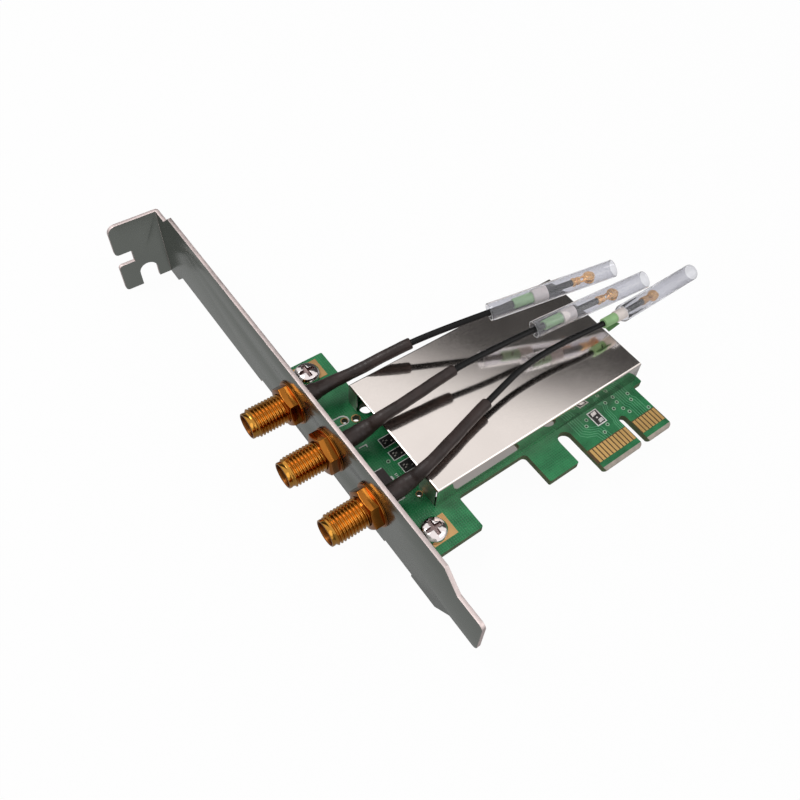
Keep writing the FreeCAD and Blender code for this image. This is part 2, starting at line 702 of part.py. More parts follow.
def build_jack(index):
    """Threaded jack body, its insulator, centre pin, washer and nut."""
    front, thread = size("jack_front"), size("jack_thread")
    chamfer, gauge = size("jack_chamfer"), size("bracket_gauge")
    bore, bore_end = size("jack_bore"), front + size("jack_bore_depth")
    tube_bore, back = size("jack_tube_bore"), gauge + size("collar_depth")
    crimp, crimp_end = size("crimp_radius"), back + size("crimp_length")
    washer_gauge, depth = size("washer_gauge"), size("nut_depth")
    pitch = size("thread_pitch_radius")
    free_end = -washer_gauge - depth - size("thread_end_gap")
    body = new_body("jack_body_%d" % index)
    profile = sketch_on(body, "jack_profile_%d" % index, "XZ_Plane")
    draw_outline(profile, [
        (front, bore), (front, thread - chamfer), (front + chamfer, thread), (free_end, thread),
        (free_end, pitch), (-washer_gauge, pitch), (-washer_gauge, thread), (back, thread),
        (back, crimp), (crimp_end, crimp), (crimp_end, ZERO), (gauge, ZERO), (gauge, tube_bore),
        (bore_end, tube_bore), (bore_end, bore)])
    revolve(body, profile)
    collar = sketch_on(body, "jack_collar_%d" % index, "YZ_Plane", gauge)
    draw_outline(collar, hexagon(size("collar_flats")))
    pad(body, collar, size("collar_depth"))
    body.Placement.Rotation = Rotation(Vector(1, 0, 0), NUT_TURNS[index - 1])
    put_at_jack(body, index)
    keep(body, "antenna_jack_%d" % index)

    insulator = new_body("insulator_body_%d" % index)
    profile = sketch_on(insulator, "insulator_profile_%d" % index, "XZ_Plane")
    pin = size("pin_radius")
    draw_outline(profile, [(bore_end, pin), (bore_end, tube_bore), (gauge, tube_bore), (gauge, pin)])
    revolve(insulator, profile)
    put_at_jack(insulator, index)
    keep(insulator, "jack_insulator_%d" % index)

    contact = new_body("contact_body_%d" % index)
    profile = sketch_on(contact, "contact_profile_%d" % index, "XZ_Plane")
    tip = front + size("pin_tip")
    draw_outline(profile, [(tip, ZERO), (tip, size("pin_tip_radius")), (tip + pin, pin),
                           (gauge, pin), (gauge, ZERO)])
    revolve(contact, profile)
    put_at_jack(contact, index)
    keep(contact, "jack_contact_%d" % index)

    radius, groove = size("washer_radius"), size("washer_groove")
    inner = thread + size("washer_play")
    washer = new_body("washer_body_%d" % index)
    profile = sketch_on(washer, "washer_profile_%d" % index, "XZ_Plane")
    middle = -washer_gauge / 2
    draw_outline(profile, [
        (ZERO, inner), (ZERO, radius), (middle + groove, radius), (middle, radius - groove),
        (middle - groove, radius), (-washer_gauge, radius), (-washer_gauge, inner)])
    revolve(washer, profile)
    put_at_jack(washer, index)
    keep(washer, "jack_washer_%d" % index)

    nut = new_body("nut_body_%d" % index)
    drawing = sketch_on(nut, "nut_outline_%d" % index, "YZ_Plane", -washer_gauge)
    draw_outline(drawing, hexagon(size("nut_flats")))
    draw_circle(drawing, ZERO, ZERO, pitch)
    pad(nut, drawing, depth, reverse=True)
    face = -washer_gauge - depth
    inner, slope = size("nut_chamfer_radius"), size("nut_chamfer_depth")
    outer = size("nut_flats") / math.sqrt(3) * 2 - inner
    groove_sketch = sketch_on(nut, "nut_chamfer_%d" % index, "XZ_Plane")
    draw_outline(groove_sketch, [
        (face - PAST, inner), (face, inner), (face + slope * 2, outer), (face - PAST, outer)])
    chamfer_cut = nut.newObject("PartDesign::Groove", "nut_chamfer_cut_%d" % index)
    chamfer_cut.Profile = groove_sketch
    chamfer_cut.ReferenceAxis = (groove_sketch, ["H_Axis"])
    chamfer_cut.Angle = 360
    nut.Placement.Rotation = Rotation(Vector(1, 0, 0), NUT_TURNS[index - 1])
    put_at_jack(nut, index)
    keep(nut, "jack_nut_%d" % index)


class Route:
    """A lead's path: straight runs joined by tangent arcs as large as the runs allow."""

    def __init__(self, points):
        self.points = [Vector(*point) for point in points]
        self.edges = []
        self.radii = []
        start = self.points[0]
        for i in range(1, len(self.points) - 1):
            before, corner, after = self.points[i - 1:i + 2]
            back, ahead = before - corner, after - corner
            reach = ARC_SHARE * min(back.Length, ahead.Length)
            half_turn = (math.pi - back.getAngle(ahead)) / 2
            radius = reach / math.tan(half_turn)
            enter = corner + back.normalize() * reach
            leave = corner + ahead.normalize() * reach
            inward = (back + ahead).normalize()
            deep = corner + inward * (radius / math.cos(half_turn) - radius)
            self.edges.append(Part.LineSegment(start, enter).toShape())
            self.edges.append(Part.Arc(enter, deep, leave).toShape())
            self.radii.append(radius)
            start = leave
        self.edges.append(Part.LineSegment(start, self.points[-1]).toShape())
        self.end = self.points[-1]
        self.direction = (self.end - self.points[-2]).normalize()
        self.length = sum(edge.Length for edge in self.edges)

    def between(self, first, last):
        """The edges between two lengths along the route."""
        pieces = []
        passed = 0
        for edge in self.edges:
            low, high = max(first - passed, 0), min(last - passed, edge.Length)
            if high - low > 1e-6:
                begin = edge.getParameterByLength(low)
                finish = edge.getParameterByLength(high)
                pieces.append(Part.Edge(edge.Curve, begin, finish))
            passed += edge.Length
        return pieces


def pipe(edges, radius):
    """A round solid along the edges."""
    wire = Part.Wire(edges)
    start = wire.Edges[0]
    first = start.FirstParameter
    circle = Part.Circle(start.valueAt(first), start.tangentAt(first), radius)
    profile = Part.Wire(circle.toShape())
    return wire.makePipeShell([profile], True, False)


def add_shape(name, shape):
    piece = document.addObject("Part::Feature", name + "_shape")
    piece.Shape = shape
    return keep(piece, name)


def build_lead(index):
    """One coaxial lead with its boot, label, sleeve, clear tube and miniature plug."""
    collar_back = size("bracket_gauge").value + size("collar_depth").value
    crimp_length = size("crimp_length").value
    place, height = size("jack_place_%d" % index).value, size("jack_height").value
    begin = collar_back + crimp_length
    turn = begin + size("lead_straight_%d" % index).value
    route = Route(((begin, place, height), (turn, place, height)) + ROUTES[index - 1])
    radius = size("coax_radius").value
    coax = pipe(route.edges, radius)
    expected = math.pi * radius ** 2 * route.length
    print("coax_cable_%d length %.1f, volume share %.4f, radii %s" % (
        index, route.length, coax.Volume / expected, [round(r, 1) for r in route.radii]))
    if abs(coax.Volume / expected - 1) > 0.01:
        raise RuntimeError("coax_cable_%d has the wrong volume" % index)
    add_shape("coax_cable_%d" % index, coax)

    crimp = size("crimp_radius").value
    wide, thin = size("boot_wide_radius").value, size("boot_radius").value
    straight = 2 * BOOT_NARROWS[index - 1]
    along = Vector(1, 0, 0)
    root = Vector(collar_back, place, height)
    outer = [Part.makeCylinder(wide, crimp_length, root, along)]
    passed = 0
    if straight:
        outer.append(pipe(route.edges[:straight], wide))
        passed = sum(edge.Length for edge in route.edges[:straight])
    line = route.edges[straight]
    outer.append(Part.makeCone(wide, thin, line.Length, line.valueAt(line.FirstParameter),
                               line.tangentAt(line.FirstParameter)))
    passed += line.Length
    boot_end = size("boot_length_%d" % index).value
    outer.append(pipe(route.between(passed, boot_end), thin))
    sheath = outer[0].fuse(outer[1:]).removeSplitter()
    stub = Part.makeCylinder(crimp, crimp_length, root, along)
    add_shape("heat_shrink_boot_%d" % index, sheath.cut([stub, coax]))

    sleeve_end = route.length - size("sleeve_to_plug").value
    sleeve_start = sleeve_end - size("sleeve_length").value
    label_start = sleeve_start - size("label_length").value
    sleeve = pipe(route.between(sleeve_start, sleeve_end), size("sleeve_radius").value)
    add_shape("cable_sleeve_%d" % index, sleeve.cut(coax))
    label = pipe(route.between(label_start, sleeve_start), size("label_radius").value)
    add_shape("cable_label_%d" % index, label.cut(coax))

    tube_start = route.end - route.direction * size("tube_overlap_%d" % index).value
    tube_length = size("tube_length_%d" % index).value
    wall = Part.makeCylinder(size("tube_radius").value, tube_length, tube_start, route.direction)
    bore = Part.makeCylinder(size("tube_bore").value, tube_length, tube_start, route.direction)
    add_shape("clear_tube_%d" % index, wall.cut(bore))
    build_plug(index, route)


def build_plug(index, route):
    """Miniature snap-on plug: crimp barrel, flat neck and round head open to one side."""
    barrel_length = size("plug_barrel_length").value
    neck_length, neck_width = size("plug_neck_length").value, size("plug_neck_width").value
    head, height = size("plug_head_radius").value, size("plug_head_height").value
    socket, depth = size("plug_socket_radius").value, size("plug_socket_depth").value
    barrel = Part.makeCylinder(size("plug_barrel_radius").value, barrel_length,
                               Vector(), Vector(1, 0, 0))
    head_x = barrel_length + neck_length + head
    neck = Part.makeBox(neck_length + head, neck_width, height / 2,
                        Vector(barrel_length, -neck_width / 2, -height / 4))
    disc = Part.makeCylinder(head, height, Vector(head_x, 0, -height / 2))
    mouth = Part.makeCylinder(socket, depth, Vector(head_x, 0, -height / 2))
    plug = barrel.fuse([neck, disc]).cut(mouth).removeSplitter()
    piece = add_shape("coax_plug_%d" % index, plug)
    side = Vector(0, 0, 1).cross(route.direction).normalize()
    up = route.direction.cross(side)
    turn = Rotation(route.direction, side, up, "XZY")
    piece.Placement = Placement(route.end, turn)


def check_document():
    """Every object has recomputed, and every sub-part is a sound solid."""
    for item in document.Objects:
        if "Invalid" in item.State or "Error" in item.State:
            raise RuntimeError("%s has failed: %s" % (item.Name, item.State))
    for piece in nodes:
        if piece.Shape.isNull() or not piece.Shape.isValid() or not piece.Shape.Solids:
            raise RuntimeError("%s has no valid solid" % piece.Label)


build_bracket()
build_board()
build_contacts()
build_pads()
build_cover()
for end_name in ("lower", "upper"):
    build_screw(end_name)
build_socket()
for jack_index in (1, 2, 3):
    build_jack(jack_index)
    build_lead(jack_index)
document.recompute()
check_document()
os.makedirs("parts", exist_ok=True)
for piece in nodes:
    piece.Shape.exportStep("parts/%s.step" % piece.Label)
print("%d sub-parts written" % len(nodes))
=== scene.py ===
import bmesh
import bpy
import math
from mathutils import Matrix, Vector


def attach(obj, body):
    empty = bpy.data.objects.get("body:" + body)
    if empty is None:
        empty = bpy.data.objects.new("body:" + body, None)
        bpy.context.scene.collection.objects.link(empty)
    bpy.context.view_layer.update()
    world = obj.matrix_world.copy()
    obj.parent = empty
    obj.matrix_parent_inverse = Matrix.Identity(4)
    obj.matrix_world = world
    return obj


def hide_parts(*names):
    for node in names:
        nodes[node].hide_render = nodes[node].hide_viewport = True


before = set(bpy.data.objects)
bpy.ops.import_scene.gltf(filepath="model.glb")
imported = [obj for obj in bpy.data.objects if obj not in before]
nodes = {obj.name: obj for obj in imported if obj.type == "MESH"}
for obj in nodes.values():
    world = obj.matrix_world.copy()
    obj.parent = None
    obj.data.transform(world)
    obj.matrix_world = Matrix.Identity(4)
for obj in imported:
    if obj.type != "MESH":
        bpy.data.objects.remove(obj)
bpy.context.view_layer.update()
scene = bpy.context.scene
MM = 0.001
MM_PER_METRE = 1000
FLOOR = -8.12 * MM


def vec(x, y, z):
    return Vector((x, y, z)) * MM


# Camera, at the photograph's viewing angle
lens = bpy.data.cameras.new("camera")
lens.sensor_width = 36.0
lens.lens = 35.54
lens.shift_x = -0.0676
lens.shift_y = -0.0026
lens.clip_start = 0.005
camera = bpy.data.objects.new("camera", lens)
scene.collection.objects.link(camera)
right = Vector((0.7872, -0.6102, 0.0895))
up = Vector((0.4528, 0.6704, 0.5877))
back = Vector((-0.4187, -0.4221, 0.8041))
place = vec(-40.82, -39.606, 136.547)
camera.matrix_world = Matrix([(right[i], up[i], back[i], place[i]) for i in range(3)] + [(0, 0, 0, 1)])
scene.camera = camera
scene.view_settings.view_transform = "Standard"


class Look:
    """A material with its shader and helpers that add nodes to it."""

    def __init__(self, name, colour, metallic=0.0, roughness=0.5, **sockets):
        self.material = bpy.data.materials.new(name)
        self.material.use_nodes = True
        self.tree = self.material.node_tree
        self.shader = self.tree.nodes["Principled BSDF"]
        self.set("Base Color", (*colour, 1.0))
        self.set("Metallic", metallic)
        self.set("Roughness", roughness)
        for socket, value in sockets.items():
            self.set(socket.replace("_", " "), value)

    def set(self, socket, value):
        self.shader.inputs[socket].default_value = value

    def link(self, source, socket):
        self.tree.links.new(source, self.shader.inputs[socket])

    def node(self, kind, inputs=(), **settings):
        node = self.tree.nodes.new(kind)
        for key, value in settings.items():
            setattr(node, key, value)
        for key, value in inputs:
            if isinstance(value, bpy.types.NodeSocket):
                self.tree.links.new(value, node.inputs[key])
            else:
                node.inputs[key].default_value = value
        return node

    def spot(self, stretch=(1, 1, 1)):
        """Object coordinates in millimetres, stretched."""
        where = self.node("ShaderNodeTexCoord").outputs["Object"]
        scale = [MM_PER_METRE * s for s in stretch]
        return self.node("ShaderNodeMapping", [("Vector", where), ("Scale", scale)]).outputs[0]

    def noise(self, scale, detail=3.0, stretch=(1, 1, 1)):
        inputs = [("Vector", self.spot(stretch)), ("Scale", scale), ("Detail", detail)]
        return self.node("ShaderNodeTexNoise", inputs).outputs["Fac"]

    def range(self, value, low, high, start=0.35, end=0.65):
        """What the value between start and end becomes between low and high."""
        inputs = [("Value", value), ("From Min", start), ("From Max", end),
                  ("To Min", low), ("To Max", high)]
        return self.node("ShaderNodeMapRange", inputs).outputs[0]

    def blend(self, factor, first, second):
        mix = self.node("ShaderNodeMix", data_type="RGBA")
        for index, value in ((0, factor), (6, first), (7, second)):
            if isinstance(value, bpy.types.NodeSocket):
                self.tree.links.new(value, mix.inputs[index])
            elif index:
                mix.inputs[index].default_value = (*value, 1.0)
            else:
                mix.inputs[index].default_value = value
        return mix.outputs[2]

    def math(self, operation, first, second=0.0):
        return self.node("ShaderNodeMath", [(0, first), (1, second)], operation=operation).outputs[0]

    def bump(self, height, depth):
        """Relief from a height between 0 and 1, its depth in millimetres."""
        inputs = [("Height", height), ("Distance", depth * MM), ("Strength", 1.0)]
        self.link(self.node("ShaderNodeBump", inputs).outputs[0], "Normal")


BROAD_SCALE = 0.11
GRAIN_SHARE = 0.65
BROAD_SHARE = 0.35


def metal(name, colour, low, high, scale, stretch=(1, 1, 1), wear=0.85, depth=0.002):
    """A metal whose roughness and colour vary with a fine grain."""
    look = Look(name, colour, metallic=1.0, roughness=low)
    grain = look.noise(scale, 4.0, stretch)
    broad = look.noise(BROAD_SCALE, 2.0)
    mixed = look.math("ADD", look.math("MULTIPLY", grain, GRAIN_SHARE),
                      look.math("MULTIPLY", broad, BROAD_SHARE))
    look.link(look.range(mixed, low, high), "Roughness")
    look.link(look.blend(look.range(broad, 0.0, 1.0), [c * wear for c in colour], colour), "Base Color")
    look.bump(grain, depth)
    return look


STEEL = metal("nickel_plate", (0.315, 0.335, 0.31), 0.24, 0.28, 1.6, (1, 1, 1), 0.95, 0.0006)
SHEAR = metal("sheared_edge", (0.8, 0.68, 0.66), 0.42, 0.62, 2.6, (1, 0.35, 1), 0.8, 0.03)
TIN = metal("tinplate", (0.83, 0.755, 0.71), 0.07, 0.14, 5.5, (0.45, 1, 1), 0.95, 0.0009)
TIN_EDGE = metal("cut_tinplate", (0.6, 0.56, 0.52), 0.35, 0.5, 3.0, wear=0.8, depth=0.01)
GOLD = metal("jack_gold", (0.62, 0.29, 0.052), 0.09, 0.16, 2.0, wear=0.8, depth=0.0015)
# Darker gold inside each jack's bore: painted shade in the recess, on the same plating as the body.
BORE_PAINTED_SHADE = metal("bore_gold_painted_shade", (0.22, 0.075, 0.016), 0.25, 0.4, 2.0, wear=0.7, depth=0.003)
NUT_GOLD = metal("nut_gold", (0.44, 0.155, 0.024), 0.08, 0.17, 1.6, wear=0.75, depth=0.0015)
CHROME = metal("screw_chrome", (0.88, 0.8, 0.79), 0.05, 0.12, 1.1, wear=0.85, depth=0.02)
# Darker chrome for the screws' cross recesses: painted shade.
RECESS_PAINTED_SHADE = metal("screw_recess_painted_shade", (0.36, 0.27, 0.26), 0.2, 0.36, 2.5, wear=0.5, depth=0.03)
PLATING = metal("contact_gold", (0.8, 0.5, 0.19), 0.26, 0.42, 3.0, wear=0.9, depth=0.004)
PAD_GOLD = metal("pad_gold", (0.66, 0.39, 0.17), 0.25, 0.42, 1.2, wear=0.72, depth=0.006)
# Darker gold for the rings round the small holes between the bracket and the cover: painted shade.
RING_GOLD_PAINTED_SHADE = metal("ring_gold_painted_shade", (0.4, 0.25, 0.11), 0.25, 0.42, 2.5, wear=0.6, depth=0.004)
PLUG_GOLD = metal("plug_gold", (1.0, 0.56, 0.2), 0.18, 0.34, 2.5, wear=0.66, depth=0.02)


def plastic(name, colour, low, high, scale, depth, shade=0.8, **sockets):
    """A plastic with mottled colour, uneven gloss and fine relief."""
    look = Look(name, colour, roughness=low, **sockets)
    grain = look.noise(scale, 4.0)
    look.link(look.range(grain, low, high), "Roughness")
    look.link(look.blend(look.range(look.noise(scale * 0.2, 2.0), 0.0, 1.0),
                         [c * shade for c in colour], colour), "Base Color")
    look.bump(grain, depth)
    return look


BOOT = plastic("shrink_sleeve", (0.034, 0.02, 0.0175), 0.36, 0.52, 1.3, 0.07, 0.55, Specular_IOR_Level=0.36)
JACKET = plastic("cable_jacket", (0.004, 0.0037, 0.0037), 0.16, 0.28, 2.6, 0.05, 0.8, Specular_IOR_Level=0.2)
PAPER = plastic("label_film", (0.33, 0.56, 0.26), 0.42, 0.6, 2.0, 0.01, 0.86)
# A darker copy of the label film for label 3's hanging flap: painted shade.
PAPER_PAINTED_SHADE = plastic("label_fold", (0.05, 0.17, 0.03), 0.45, 0.6, 2.0, 0.01, 0.8)
SLEEVE = plastic("foam_sleeve", (0.86, 0.78, 0.73), 0.6, 0.8, 3.5, 0.02, 0.9)
WAX = plastic("insulator", (0.84, 0.82, 0.77), 0.4, 0.55, 2.0, 0.006, 0.93)
MOULD = plastic("socket_black", (0.03, 0.03, 0.034), 0.4, 0.55, 5.0, 0.008, 0.8)
SILK = plastic("printed_white", (0.78, 0.79, 0.76), 0.5, 0.65, 4.0, 0.004, 0.8)
BLACK = plastic("bare_black", (0.012, 0.012, 0.011), 0.35, 0.5, 4.0, 0.004, 0.8)
SOLDER = metal("solder", (0.8, 0.78, 0.76), 0.25, 0.45, 2.6, wear=0.7, depth=0.05)
LAMINATE = plastic("cut_laminate", (0.45, 0.39, 0.33), 0.6, 0.8, 3.0, 0.02, 0.75)
# Dark olive for the board's upright cut walls: painted shade on the pale laminate.
WALL_PAINTED_SHADE = plastic("slot_wall_painted_shade", (0.085, 0.12, 0.045), 0.5, 0.7, 3.0, 0.02, 0.7)
BROWN = plastic("bare_board", (0.10, 0.05, 0.012), 0.35, 0.5, 3.0, 0.006, 0.7)
DARK_PLATE = plastic("dark_brown_plate", (0.033, 0.021, 0.021), 0.42, 0.56, 2.5, 0.01, 0.8, Specular_IOR_Level=0.4)
CUT = plastic("cut_tube_end", (0.86, 0.86, 0.88), 0.35, 0.5, 2.0, 0.004, 0.9, Transmission_Weight=0.2)


# The hatched copper under the resist: its pitch, where it ends along x, how much of it shows
HATCH_PITCH = 0.52
HATCH_END = (43.0, 43.4)
HATCH_SHARE = 0.34
HATCH_LIGHT = 1.9


def resist(name, dark, light, hatch):
    """Green resist, with the hatched copper below it showing faintly."""
    look = Look(name, light, roughness=0.3, Specular_IOR_Level=0.4, Coat_Weight=0.1, Coat_Roughness=0.2)
    cloud = look.range(look.noise(0.3, 3.0), 0.0, 1.0)
    colour = look.blend(cloud, dark, light)
    if hatch:
        apart = look.node("ShaderNodeSeparateXYZ", [("Vector", look.spot())])
        lines = []
        for axis in (0, 1):
            turn = look.math("MULTIPLY", apart.outputs[axis], 2 * math.pi / HATCH_PITCH)
            lines.append(look.math("SINE", turn))
        grid = look.range(look.math("MAXIMUM", *lines), 0.0, 1.0, 0.55, 0.85)
        field = look.range(apart.outputs[0], 1.0, 0.0, *HATCH_END)
        shown = look.math("MULTIPLY", look.math("MULTIPLY", grid, field), HATCH_SHARE)
        colour = look.blend(shown, colour, [c * HATCH_LIGHT for c in light])
        look.bump(look.math("MULTIPLY", grid, field), 0.012)
    look.link(colour, "Base Color")
    look.link(look.range(look.noise(4.0), 0.24, 0.38), "Roughness")
    return look


GREEN = resist("circuit_green", (0.006, 0.115, 0.036), (0.02, 0.205, 0.07), True)
TRACK = resist("track_green", (0.05, 0.27, 0.12), (0.09, 0.34, 0.16), False)
VIA = plastic("via_ring", (0.3, 0.5, 0.33), 0.35, 0.5, 3.0, 0.004, 0.85)

CLEAR = Look("clear_plastic", (0.74, 0.74, 0.775), roughness=0.04, Transmission_Weight=0.95, IOR=1.06,
             Coat_Weight=0.9, Coat_Roughness=0.04, Coat_IOR=1.5)
CLEAR.link(CLEAR.range(CLEAR.noise(0.8), 0.02, 0.07), "Roughness")
CLEAR.bump(CLEAR.noise(0.5, 2.0), 0.03)


DOUBLED = 2e-7


def settle(mesh, angle):
    """Joins doubled points and keeps only edges past the angle sharp."""
    work = bmesh.new()
    work.from_mesh(mesh)
    bmesh.ops.remove_doubles(work, verts=work.verts, dist=DOUBLED)
    bmesh.ops.dissolve_degenerate(work, edges=work.edges, dist=DOUBLED)
    bmesh.ops.recalc_face_normals(work, faces=work.faces)
    for face in work.faces:
        face.smooth = True
    for edge in work.edges:
        edge.smooth = len(edge.link_faces) == 2 and edge.calc_face_angle(0) < math.radians(angle)
    work.to_mesh(mesh)
    work.free()


def declare(piece, looks, replaced=()):
    for look in looks:
        piece.data.materials.append(look.material)
    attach(piece, "root")
    if replaced:
        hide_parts(*replaced)
    return piece


# What is laid on the board starts just below its face
SUNK = -0.01


class Shell:
    """Gathers points in millimetres and faces for one mesh."""

    def __init__(self):
        self.points = []
        self.faces = []
        self.indices = []

    def add(self, points, faces, index=0):
        start = len(self.points)
        self.points += [Vector(point) for point in points]
        self.faces += [[start + i for i in face] for face in faces]
        self.indices += [index] * len(faces)

    def lathe(self, origin, axis, profile, sides=64, index=0, closed=False):
        """Turns a profile of (distance, radius) round an axis."""
        axis = Vector(axis).normalized()
        side = axis.orthogonal().normalized()
        other = axis.cross(side)
        points = []
        for along, radius in profile:
            for k in range(sides):
                turn = 2 * math.pi * k / sides
                points.append(Vector(origin) + axis * along
                              + (side * math.cos(turn) + other * math.sin(turn)) * radius)
        rows = len(profile)
        faces = []
        for row in range(rows if closed else rows - 1):
            low, high = row * sides, (row + 1) % rows * sides
            for k in range(sides):
                after = (k + 1) % sides
                faces.append((low + k, low + after, high + after, high + k))
        self.add(points, faces, index)

    def prism(self, corners, low, high, index=0):
        """A flat plate with the outline of the corners."""
        count = len(corners)
        points = [(x, y, low) for x, y in corners] + [(x, y, high) for x, y in corners]
        faces = [list(range(count))[::-1], list(range(count, 2 * count))]
        faces += [(k, (k + 1) % count, count + (k + 1) % count, count + k) for k in range(count)]
        self.add(points, faces, index)

    def ribbon(self, corners, width, high=0.03, closed=False):
        """A flat line of one width through the corners."""
        corners = [Vector(corner) for corner in corners]
        count = len(corners)
        points = []
        for i, corner in enumerate(corners):
            arrive = corner - corners[i - 1] if i or closed else corners[1] - corner
            leave = corners[(i + 1) % count] - corner if i < count - 1 or closed else arrive
            arrive, leave = arrive.normalized(), leave.normalized()
            middle = (arrive + leave).normalized()
            side = Vector((-middle.y, middle.x))
            side *= width / 2 / max(side.dot(Vector((-arrive.y, arrive.x))), 0.4)
            for spot, level in ((corner + side, high), (corner - side, high),
                                (corner - side, SUNK), (corner + side, SUNK)):
                points.append((spot.x, spot.y, level))
        faces = []
        for i in range(count if closed else count - 1):
            a, b = 4 * i, 4 * ((i + 1) % count)
            faces += [(a + k, b + k, b + (k + 1) % 4, a + (k + 1) % 4) for k in range(4)]
        if not closed:
            faces += [(0, 1, 2, 3), tuple(range(4 * count - 1, 4 * count - 5, -1))]
        self.add(points, faces)

    def ring(self, x, y, inner, outer, high, index):
        profile = [(SUNK, inner), (SUNK, outer), (high, outer), (high, inner)]
        self.lathe((x, y, 0), (0, 0, 1), profile, 24, index, closed=True)

    def disc(self, x, y, radius, high, index, sides=20):
        corners = [(x + radius * math.cos(2 * math.pi * k / sides),
                    y + radius * math.sin(2 * math.pi * k / sides)) for k in range(sides)]
        self.prism(corners, SUNK, high, index)

    def build(self, name, looks, replaced=(), angle=32):
        mesh = bpy.data.meshes.new(name)
        mesh.from_pydata([point * MM for point in self.points], [], self.faces)
        for polygon, index in zip(mesh.polygons, self.indices):
            polygon.material_index = index
        settle(mesh, angle)
        piece = bpy.data.objects.new(name, mesh)
        scene.collection.objects.link(piece)
        return declare(piece, looks, replaced)


# Leads: the routes' points, as in the part's source
ROUTES = (
    ((4.6, 46.8, 5.06), (9.1, 46.8, 5.06), (14.2, 45.75, 6.2), (19.5, 44.4, 8.4),
     (28.0, 42.45, 11.1), (44.73, 37.55, 14.52), (61.0, 32.9, 17.3)),
    ((4.6, 33.2, 5.06), (7.7, 33.2, 5.06), (11.5, 31.95, 8.65), (17.5, 31.85, 9.3),
     (28.0, 32.0, 11.0), (37.5, 31.05, 12.15), (51.5, 29.98, 12.4), (64.75, 27.84, 14.05)),
    ((4.6, 18.5, 5.06), (7.7, 18.5, 5.06), (11.5, 17.75, 8.65), (16.5, 18.95, 8.75),
     (25.6, 21.5, 8.8), (34.0, 23.4, 9.5), (41.5, 24.8, 10.6), (51.9, 24.9, 10.95),
     (64.31, 23.39, 11.38), (76.54, 24.06, 10.33)),
)
CABLE_RADIUS = 0.7
BOOT_LENGTHS = (22.7, 25.6, 27.3)
TUBE_LENGTHS = (29.1, 28.5, 25.6)
TUBE_OVERLAPS = (19.3, 16.0, 7.1)
SLEEVE_RADII = (1.57, 1.57, 1.3)
SLEEVE_LENGTH = 3.3
SLEEVE_TO_END = 6.0
LABEL_LENGTHS = (4.4, 4.4, 3.6)

# Jacks: their places along the bracket, how far each collar is turned, their height over the board
PLACES = (46.8, 33.2, 18.5)
TURNS = (12.7, 28.7, 4.7)
HEIGHT = 5.06
COLLAR_BACK = 2.38
CRIMP = 2.22


def lead_curve(index, route):
    curve = bpy.data.curves.new("coax_%d" % index, "CURVE")
    curve.dimensions = "3D"
    curve.resolution_u = 24
    spline = curve.splines.new("NURBS")
    spline.points.add(len(route) - 1)
    for point, spot in zip(spline.points, route):
        point.co = (*vec(*spot), 1.0)
    spline.order_u = 3
    spline.use_endpoint_u = True
    piece = bpy.data.objects.new("coax_%d" % index, curve)
    scene.collection.objects.link(piece)
    mesh = bpy.data.meshes.new_from_object(piece)
    path = [vertex.co / MM for vertex in mesh.vertices]
    bpy.data.meshes.remove(mesh)
    curve.bevel_depth = CABLE_RADIUS * MM
    curve.bevel_resolution = 6
    curve.use_fill_caps = True
    return piece, path


class Path:
    """Places along a line of points, each with a frame that doesn't twist."""

    def __init__(self, points):
        self.points = points
        self.ends = [0.0]
        self.sides = []
        side = None
        for first, second in zip(points, points[1:]):
            run = second - first
            self.ends.append(self.ends[-1] + run.length)
            along = run.normalized()
            if side is None:
                side = (Vector((0, 0, 1)) - along * along.z).normalized()
            side = (side - along * side.dot(along)).normalized()
            self.sides.append(side)
        self.length = self.ends[-1]

    def at(self, along):
        step = 0
        while step < len(self.sides) - 1 and self.ends[step + 1] < along:
            step += 1
        first, second = self.points[step], self.points[step + 1]
        tangent = (second - first).normalized()
        share = along - self.ends[step]
        following = min(step + 1, len(self.sides) - 1)
        ahead = (self.points[following + 1] - self.points[following]).normalized()
        mix = min(max(share / max(self.ends[step + 1] - self.ends[step], 1e-6), 0), 1)
        smooth = tangent.lerp(ahead, mix).normalized()
        side = self.sides[step]
        side = (side - smooth * side.dot(smooth)).normalized()
        return first + tangent * share, side, smooth.cross(side)


STATION_STEP = 0.35


def sweep(shell, path, profile, lump=None, sides=32):
    """A round skin along the path, its radius given at distances along it."""
    stations = []
    for (start, low), (end, high) in zip(profile, profile[1:]):
        steps = max(1, math.ceil((end - start) / STATION_STEP))
        for k in range(steps):
            share = k / steps
            eased = share * share * (3 - 2 * share)
            stations.append((start + (end - start) * share, low + (high - low) * eased))
    stations.append(profile[-1])
    points = []
    for along, radius in stations:
        spot, side, other = path.at(along)
        for k in range(sides):
            turn = 2 * math.pi * k / sides
            reach = radius * (1 + lump(along, turn)) if lump else radius
            points.append(spot + (side * math.cos(turn) + other * math.sin(turn)) * reach)
    faces = []
    for row in range(len(stations) - 1):
        for k in range(sides):
            after = (k + 1) % sides
            faces.append((row * sides + k, row * sides + after,
                          (row + 1) * sides + after, (row + 1) * sides + k))
    last = (len(stations) - 1) * sides
    faces.append(list(range(sides))[::-1])
    faces.append(list(range(last, last + sides)))
    shell.add(points, faces)


def boot_profile(index, length):
    """Wide over the crimp, then drawn down on to the cable."""
    if index == 1:
        root = [(0.0, 1.9), (2.5, 1.9), (3.7, 1.62), (5.3, 1.5), (8.1, 1.36), (11.1, 1.25)]
    else:
        root = [(0.0, 1.9), (2.3, 1.9), (4.5, 1.86), (5.8, 1.74), (7.7, 1.44), (9.5, 1.38), (11.6, 1.26)]
    tip = [(length - 5.0, 1.22), (length - 0.5, 1.22), (length - 0.16, 1.18), (length - 0.03, 1.06),
           (length, 0.92), (length + 0.01, 0.72)]
    return root + tip


